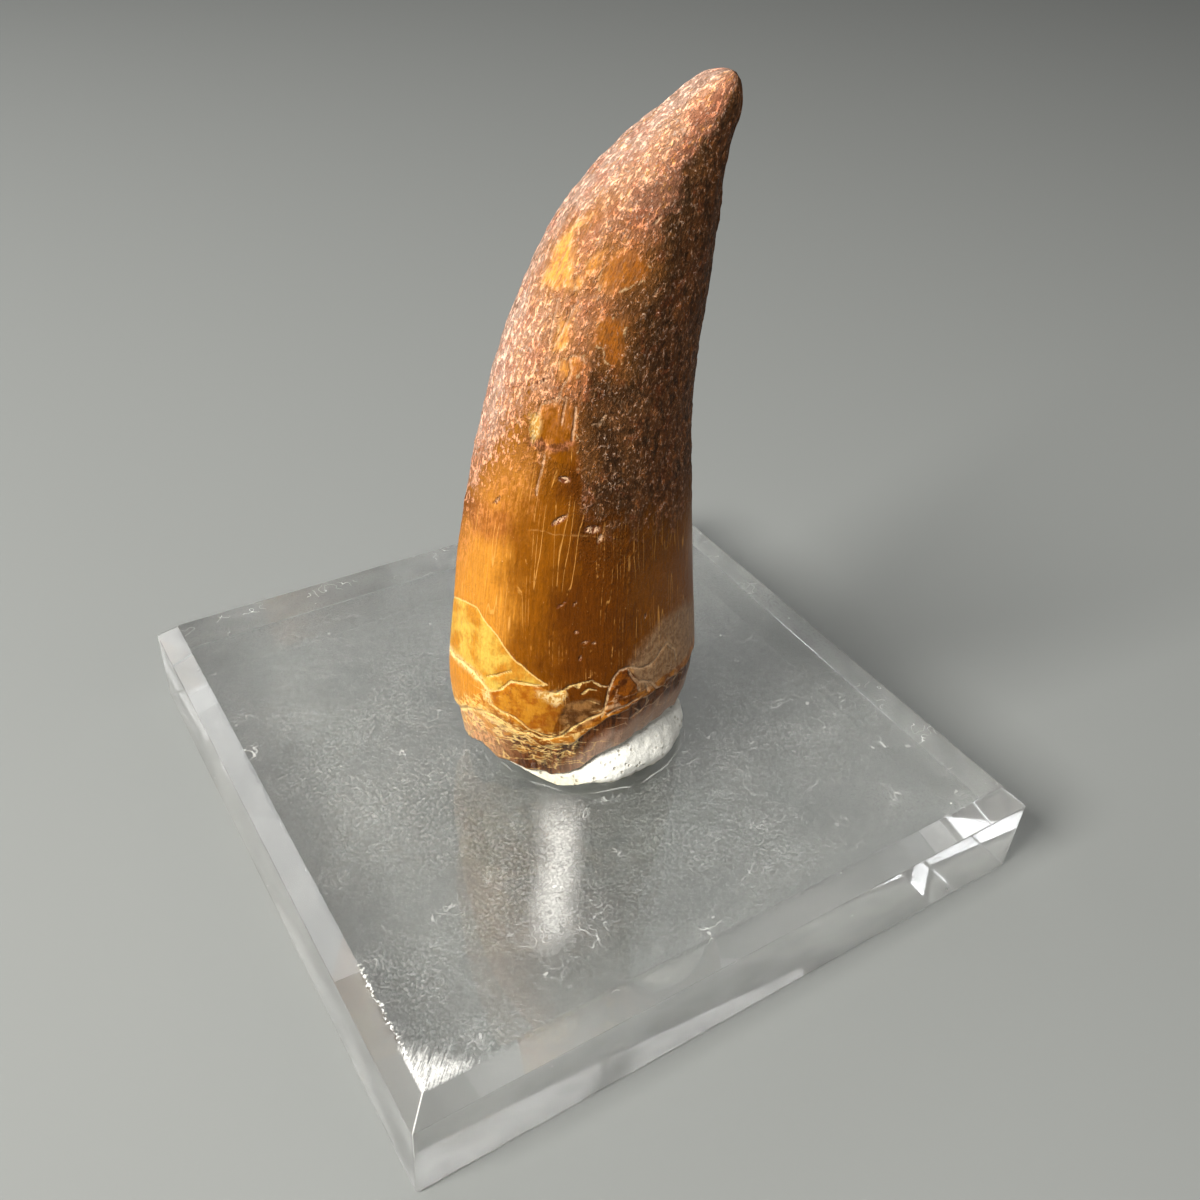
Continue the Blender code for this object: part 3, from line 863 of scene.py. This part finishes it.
class ToothFinish(Finish):
    """The tooth's finish: its layers, and the patterns and places that they share."""

    def __init__(self):
        super().__init__("tooth_enamel")
        # In millimetres: places, heights over edges and distances from outlines; side is in degrees
        self.blade = self.stored("blade", "Vector")
        self.level = self.part(self.blade, "Z")
        self.side = self.stored("side")
        self.over_edge = self.stored("crust")
        self.window = self.stored("window")
        self.ledge = self.stored("ledge")
        self.seam = self.stored("seam")
        self.gold = self.stored("gold")

        # Patterns from 0 to 1, the broadest first
        self.cloud = self.noise(self.blade, 0.22, 3, 0.6)
        self.blotch = self.noise(self.blade, 0.48, 3, 0.6)
        self.patch = self.noise(self.blade, 0.9, 4, 0.65)
        self.grain = self.drawn_out(1, 1.3, 2.0, 3, 0.72)
        self.fleck = self.drawn_out(1, 1.5, 3.8, 1, 0.6)
        self.streak = self.drawn_out(1, 7, 2.2, 4, 0.68)
        self.fibre = self.drawn_out(1, 10, 3.6, 2, 0.6)
        self.splinter = self.drawn_out(3.4, 1, 1.6, 2, 0.6)

        # What the layers share: grains, creases, the dark stain and the bare root
        self.coarse = self.grain.step(0.40, 0.60)
        self.crease = abs(self.grain - 0.5).step(0.0, 0.07)
        stain = self.stored("stain") + (self.cloud - 0.5) * 9 + (self.patch - 0.5) * 7
        self.dark = stain.step(-1.8, 1.6)
        self.fine = (self.fleck - 0.5) * 0.2
        self.bare = (self.ledge + self.fine).step(0.06, -0.06)
        self.by_ledge = abs(self.ledge + 0.4).step(3.0, 1.6) * self.side.step(94, 108)

    def drawn_out(self, across, along, scale, detail, roughness=0.5):
        """Noise that is drawn out across or along the blade."""
        return self.noise(self.stretch(self.blade, (across, across, along)), scale, detail, roughness)

    def enamel(self):
        """Amber, deep at the middle of the face and lighter to the front and the rear.

        Fibres shade it, and it has pale threads, the crests of a sine of a warped side,
        a few flecks, a dull band, and a thin brown skin where the crust is near.
        """
        drift = self.side + (self.cloud - 0.5) * 40 + (self.streak - 0.5) * 26
        amber = self.mix(drift.step(98, 122), (96, 47, 1), (134, 75, 3))
        amber = self.mix(drift.step(122, 147), amber, (201, 131, 42))
        amber = self.mix(drift.step(84, 56), amber, (124, 68, 5))
        band = abs(self.level - 29.6 + (self.cloud - 0.5) * 5).step(2.4, 0.6)
        band = band * (self.side + (self.patch - 0.5) * 30).step(130, 142)
        amber = self.mix(band * 0.7, amber, (146, 78, 28))
        tone = 0.72 + self.fibre.step(0.36, 0.66) * 0.20 + self.patch * 0.26 + self.coarse * 0.10
        amber = self.shade(amber, tone)
        weave = self.drawn_out(1, 14, 0.4, 2)
        warped = (self.side + weave * 44) * 1.4
        thread = warped.maths("SINE", warped).step(0.93, 0.99)
        thread = thread * (self.cloud + (self.grain - 0.5) * 0.3).step(0.44, 0.54)
        amber = self.mix(thread * 0.55, amber, (232, 166, 84))
        flecks = self.fleck.step(0.73, 0.79) * self.patch.step(0.5, 0.6) * 0.7
        amber = self.mix(flecks, amber, (232, 180, 116))
        skin = (self.over_edge + (self.patch - 0.5) * 9).step(-14, -2) * drift.step(116, 140)
        brown = self.mix(self.coarse, (104, 50, 18), (206, 132, 74))
        return self.mix(skin * (0.4 + self.coarse * 0.3), amber, brown)

    def stain(self):
        """Brown, near black in patches, as on the crust's rear half."""
        brown = self.mix(self.cloud.step(0.42, 0.6), (58, 32, 12), (98, 60, 30))
        brown = self.mix(self.side.step(84, 60) * 0.5, brown, (132, 76, 38))
        brown = self.mix(self.blotch.step(0.56, 0.66) * 0.5, brown, (100, 44, 22))
        brown = self.mix(self.patch.step(0.50, 0.40) * 0.75, brown, (38, 20, 7))
        return self.mix(self.fleck.step(0.58, 0.70) * 0.3, brown, (180, 132, 90))

    def crust(self):
        """Matte pink and brown grains, lighter at the front with a painted sheen at its edge, the stain at
        the rear, and painted glints.
        """
        turn = self.side + self.level.step(54, 68) * 20
        turn = turn + (self.cloud - 0.5) * 60 + (self.patch - 0.5) * 34
        crust = self.mix(turn.step(106, 140), (168, 110, 82), (234, 172, 134))
        # The palest colour, at the front edge and further round near the tip, is a painted sheen where the
        # key light grazes
        pale = turn.step(146, 172) * (0.3 + self.level.step(32, 44) * 0.7)
        crust = self.mix(pale, crust, (236, 190, 166))
        crust = self.mix(self.blotch.step(0.50, 0.62) * 0.4, crust, (204, 116, 82))
        crust = self.mix(self.blotch.step(0.44, 0.36) * 0.4, crust, (156, 110, 80))
        golden = (self.streak + (self.patch - 0.5) * 0.6).step(0.56, 0.68) * 0.5
        crust = self.mix(golden, crust, (234, 158, 76))
        crust = self.mix(self.dark * 0.94, crust, self.stain())
        # The tone darkens the creases and the low grains, which the relief also sinks: partly the crust's
        # own colour, partly painted shade in its hollows
        tone = self.crease * 0.36 + self.coarse * 1.05 + self.patch * 0.40 + self.blotch * 0.20
        crust = self.shade(crust, tone + self.level.step(60, 68) * 0.05)
        # Pale specks and squiggles are painted glints, brightest at the front where the key light falls and
        # dim on the stain
        curl = abs(self.patch - 0.52).step(0.016, 0.005) * self.grain.step(0.52, 0.60)
        painted_glint = 0.28 + turn.step(120, 160) * 0.46 - self.dark * 0.24
        painted_glint = self.fleck.step(0.58, 0.70) * painted_glint + curl * 0.5
        crust = self.mix(painted_glint, crust, (252, 226, 204))
        thin = self.over_edge.step(7, 0) * self.side.step(126, 138)
        return self.mix(thin * 0.5, crust, self.shade((196, 120, 66), 0.3 + self.coarse * 0.9))

    def glow(self):
        """Golden enamel in the windows, streaked along the blade."""
        reach = self.side + (self.cloud - 0.5) * 30
        glow = self.mix(reach.step(108, 136), (158, 90, 26), (232, 158, 64))
        glow = self.mix(self.level.step(45, 42) * 0.7, glow, (150, 82, 6))
        tone = 0.36 + self.streak.step(0.40, 0.56) * 0.52 + self.coarse * 0.24 + self.patch * 0.2
        glow = self.shade(glow, tone)
        burr = (self.grain + self.streak * 0.7).step(0.90, 1.02) * 0.7
        glow = self.mix(burr, glow, (112, 62, 30))
        return self.mix(self.patch.step(0.47, 0.38) * 0.6, glow, (126, 80, 42))

    def wear_and_painted_light(self, crust):
        """The crust with its worn windows, which are ragged and have a soft golden rim and a pale edge line,
        a painted highlight.
        """
        inside = self.window + (self.streak - 0.5) * 4.5 + (self.grain - 0.5) * 2.5
        around = self.window + (self.streak - 0.5) * 6 + (self.patch - 0.5) * 5
        ragged = 0.5 + (self.streak + (self.grain - 0.5) * 0.9).step(0.40, 0.54) * 0.5
        # The pale line along the windows' edges is a painted highlight, as on the lit wall of a recess
        rim = abs(self.window - 0.05 + (self.grain - 0.5) * 0.6).step(0.14, 0.03)
        halo = around.step(3.0, -0.4) * (0.5 - self.dark * 0.3)
        crust = self.mix(halo, crust, self.shade((214, 134, 56), 0.55 + self.coarse * 0.5))
        crust = self.mix(inside.step(0.5, -0.4) * ragged * 0.9, crust, self.glow())
        return self.mix(rim * self.patch.step(0.52, 0.6) * 0.45, crust, (238, 200, 150))

    def upper(self):
        """Enamel below and worn crust above, parted by a speckled edge."""
        fade = (self.cloud - 0.5) * 10 + (self.patch - 0.5) * 9
        fade = fade + (self.grain - 0.5) * (4 + self.side.step(122, 138) * 20)
        covered = (self.over_edge + fade).step(-2.0, 2.0)
        return self.mix(covered, self.enamel(), self.wear_and_painted_light(self.crust()))

    def marked(self, base):
        """A faint line and a brown strip across the face, and chips that show pale stone."""
        line = abs(self.level - 30.4 + (self.patch - 0.5) * 0.5 + (self.blotch - 0.5) * 0.8)
        reach = self.patch.step(0.36, 0.5) * self.side.step(88, 94) * self.side.step(128, 122)
        base = self.mix(line.step(0.11, 0.03) * reach * 0.28, base, (206, 150, 86))
        strip = abs(self.level - 38.5 - self.side.step(118, 108) * 0.9 + (self.patch - 0.5) * 1.2)
        strip = (strip + (self.grain - 0.5) * 2).step(0.6, 0.2)
        strip = strip * self.side.step(137, 131) * self.side.step(107, 111)
        base = self.mix(strip * 0.7, base, self.mix(self.coarse, (86, 46, 26), (186, 118, 84)))
        chip = (self.stored("chip") + (self.fleck - 0.5) * 0.6).step(0.08, -0.08)
        return self.mix(chip, base, self.mix(self.fleck.step(0.40, 0.54), (112, 60, 34), (224, 180, 142)))

    def plated(self, base):
        """Plates of enamel at the foot, each in its own colour."""
        grey = (self.stored("grey") + (self.patch - 0.5) * 2.4).step(1.0, -1.0)
        base = self.mix(grey * 0.75, base, self.mix(self.coarse, (138, 104, 74), (182, 146, 108)))
        plate = self.mix(self.blotch.step(0.36, 0.64), (194, 128, 36), (214, 174, 74))
        plate = self.mix(self.patch.step(0.56, 0.7) * 0.35, plate, (176, 104, 26))
        plate = self.shade(plate, 0.9 + self.coarse * 0.16)
        base = self.mix((self.gold + (self.fleck - 0.5) * 0.3).step(0.08, -0.08), base, plate)
        rust = self.mix(self.patch.step(0.36, 0.64), (126, 66, 12), (196, 124, 38))
        lit_rust = self.mix(self.coarse, (196, 116, 34), (250, 196, 98))
        rust = self.mix(self.side.step(126, 150) * 0.8, rust, lit_rust)
        base = self.mix(self.seam.step(0.05, -0.05) * 0.9, base, rust)
        honey = self.mix(self.patch.step(0.38, 0.62), (160, 86, 10), (196, 130, 34))
        honey = self.mix(self.side.step(118, 106) * 0.6, honey, (130, 74, 14))
        honey = self.mix(self.grain.step(0.6, 0.7) * 0.4, honey, (112, 58, 14))
        base = self.mix(self.stored("honey").step(0.08, -0.08), base, honey)
        cream = (self.stored("cream") + (self.fleck - 0.5) * 1.2).step(0.3, -0.4) * 0.85
        base = self.mix(cream, base, self.mix(self.fleck.step(0.4, 0.6), (200, 146, 68), (246, 216, 154)))
        oval = self.stored("oval").step(0.3, -0.3) * 0.9
        base = self.mix(oval, base, self.mix(self.patch.step(0.4, 0.6), (84, 50, 20), (146, 102, 56)))
        red = self.stored("red").step(0.05, -0.05)
        return self.mix(red, base, self.mix(self.patch.step(0.4, 0.6), (84, 38, 4), (150, 80, 10)))

    def cracks(self):
        """How much packed stone shows: in cracks, hair cracks and splits by the ledge."""
        hair = self.cells(self.stretch(self.blade, (1.7, 1.7, 1.0)), 0.62, "DISTANCE_TO_EDGE")
        foot = (self.seam + (self.cloud - 0.5) * 8).step(2.2, 0.2) * self.patch.step(0.42, 0.56)
        lines = abs(self.stored("crack") + self.fine).step(0.17, 0.05) * (0.55 + self.coarse * 0.6)
        lines = lines + abs(self.gold + self.fine).step(0.14, 0.04) * 0.7
        lines = lines + (hair + (self.fleck - 0.5) * 0.05).step(0.045, 0.012) * foot * 0.7
        split = abs(self.splinter - 0.5).step(0.055, 0.025) * self.by_ledge
        lines = self.clamp(lines + split * self.patch.step(0.40, 0.52) * 0.9)
        return lines * (1 - self.level.step(22, 28) * 0.35)

    def dentine(self):
        """Dark dentine with golden splinters, paler at the front, with a sheen at the rear."""
        dentine = self.mix(self.streak.step(0.38, 0.62), (58, 27, 9), (118, 66, 30))
        front = self.shade((238, 176, 122), 0.45 + self.coarse * 0.55)
        dentine = self.mix(self.side.step(122, 150) * 0.85, dentine, front)
        sheen = (self.ledge + (self.streak - 0.5) * 1.4).step(-1.6, -3.6) * self.side.step(112, 92)
        dentine = self.mix(sheen * 0.75, dentine, (186, 150, 126))
        gilt = self.splinter.step(0.54, 0.62) * self.by_ledge * 0.7
        return self.mix(gilt, dentine, (204, 136, 46))

    def broken(self, base):
        """Dentine below the enamel's ledge, the underside, and pale stone in every crack."""
        pale = self.mix(self.side.step(80, 98), (206, 168, 130), (250, 212, 136))
        pale = self.mix(self.level.step(22, 28), pale, (236, 192, 152))
        base = self.mix(self.bare, base, self.dentine())
        base = self.mix(self.cracks() * 0.85, base, pale)
        underside = self.mix(self.patch, (160, 136, 120), (196, 172, 150))
        base = self.mix(self.ledge.step(-7.5, -8.5), base, underside)
        brink = abs(self.ledge - 0.1 + self.fine) * (1 - self.side.step(112, 134) * 0.7)
        brink = brink.step(0.26, 0.06) * (0.35 + self.coarse * 0.65)
        return self.mix(brink * 0.85, base, pale)

    def relief(self, matte):
        """Fine relief: grain and creases on the matte crust, fibres, cracks and chips."""
        relief = (self.grain - 0.5) * (0.6 + matte * 2.4) + (self.fleck - 0.5) * (0.2 + matte)
        relief = relief + self.fibre * 0.4
        relief = relief + (self.crease - 0.7) * matte * 0.5 + (self.patch - 0.5) * matte
        relief = relief - self.stored("crack").step(0.25, 0.05) * 0.5
        return relief - self.stored("chip").step(0.1, -0.1) * 0.8


def tooth_finish():
    """Amber enamel, matte crust, worn windows, cracked plates and bare dentine."""
    finish = ToothFinish()
    base = finish.broken(finish.plated(finish.marked(finish.upper())))
    matte = finish.over_edge.step(-9, 2) * finish.window.step(-0.2, 0.3)
    finish.coat(
        Base_Color=base,
        Roughness=0.27 + matte * 0.2 + finish.grain * 0.12 + finish.bare * 0.05,
        Coat_Weight=0.05 - matte * 0.05 + finish.bare * 0.3,
        Coat_Roughness=0.1,
        IOR=1.5,
        Specular_IOR_Level=0.18,
        Specular_Tint=(1.0, 0.75, 0.38, 1.0),
        Normal=finish.bump(finish.relief(matte), 0.20 * MM),
    )
    return finish.material


add_piece("tooth_crown", tooth_mesh(), tooth_finish(), "tooth")


# ---- Floor, light and camera ---------------------------------------------------------
# A pale sheet to stand on, a soft key light from the left, four weaker ones from above,
# behind and in front, and the camera above the block's near corner.
FLOOR_LEVEL = -0.15 * MM
FLOOR_SIZE = 3.0
LIGHTS_AIM = (0.0, 0.0, 0.04)

# Lights as (name, direction from the aim, distance, size, power, tint)
LIGHTS = (
    ("key_light", (-0.782, -0.096, 0.60), 0.70, 0.28, 7.6, (1.0, 0.98, 0.94)),
    ("top_light", (-0.321, -0.383, 0.866), 0.60, 0.11, 1.1, (1.0, 0.99, 0.97)),
    ("rim_light", (-0.66, 0.72, 0.22), 0.70, 0.40, 1.7, (0.97, 0.98, 1.0)),
    ("fill_light", (0.50, -0.80, 0.35), 0.90, 0.60, 1.1, (1.0, 0.99, 0.97)),
    ("back_light", (0.38, 0.52, 0.85), 1.10, 1.20, 2.8, (1.0, 0.99, 0.97)),
)

# The camera's place in millimetres, and the directions of its right and its up
CAMERA_PLACE = (-56.34, -87.18, 106.35)
CAMERA_RIGHT = (0.84541, -0.53138, 0.05411)
CAMERA_UP = (0.28496, 0.53440, 0.79575)


def add_floor():
    """A plain pale square just below the block."""
    mesh = bpy.data.meshes.new("floor")
    reach = FLOOR_SIZE / 2
    corners = [(-reach, -reach), (reach, -reach), (reach, reach), (-reach, reach)]
    mesh.from_pydata([(x, y, FLOOR_LEVEL) for x, y in corners], [], [(0, 1, 2, 3)])
    finish = Finish("pale_floor")
    finish.coat(Base_Color=(0.27, 0.28, 0.27, 1), Roughness=0.8)
    mesh.materials.append(finish.material)
    floor = bpy.data.objects.new("floor", mesh)
    bpy.context.scene.collection.objects.link(floor)


def placed(right, up, place):
    """Matrix of a lamp or camera at a place, from the directions of its right and its up."""
    matrix = np.eye(4)
    matrix[:3, 0] = right
    matrix[:3, 1] = up
    matrix[:3, 2] = np.cross(right, up)
    matrix[:3, 3] = place
    return matrix.T.tolist()


def add_light(name, towards, distance, size, power, tint):
    """A square soft light at a direction from the aim, facing it."""
    direction = np.array(towards) / np.linalg.norm(towards)
    lamp = bpy.data.lights.new(name, "AREA")
    lamp.shape = "SQUARE"
    lamp.size = size
    lamp.energy = power
    lamp.color = tint
    light = bpy.data.objects.new(name, lamp)
    side = np.cross((0, 0, 1), direction)
    side = side / np.linalg.norm(side)
    place = np.array(LIGHTS_AIM) + direction * distance
    light.matrix_world = placed(side, np.cross(direction, side), place)
    bpy.context.scene.collection.objects.link(light)


def add_camera():
    """The camera, above the near corner, with a lens about as long as its film is wide."""
    lens = bpy.data.cameras.new("camera")
    lens.lens = 35.07
    lens.sensor_width = 36.0
    lens.clip_start = 0.005
    lens.clip_end = 20.0
    camera = bpy.data.objects.new("camera", lens)
    camera.matrix_world = placed(CAMERA_RIGHT, CAMERA_UP, np.array(CAMERA_PLACE) * MM)
    bpy.context.scene.collection.objects.link(camera)
    bpy.context.scene.camera = camera


def set_world(tint, strength):
    """Even pale light from all round."""
    world = bpy.data.worlds.new("studio")
    world.use_nodes = True
    background = world.node_tree.nodes["Background"]
    background.inputs["Color"].default_value = (*tint, 1.0)
    background.inputs["Strength"].default_value = strength
    bpy.context.scene.world = world


add_floor()
for light in LIGHTS:
    add_light(*light)
set_world((0.95, 0.97, 1.0), 0.04)
add_camera()
bpy.context.scene.view_settings.view_transform = "Standard"
bpy.context.scene.cycles.max_bounces = 26
bpy.context.scene.cycles.transmission_bounces = 26
bpy.context.scene.cycles.glossy_bounces = 16
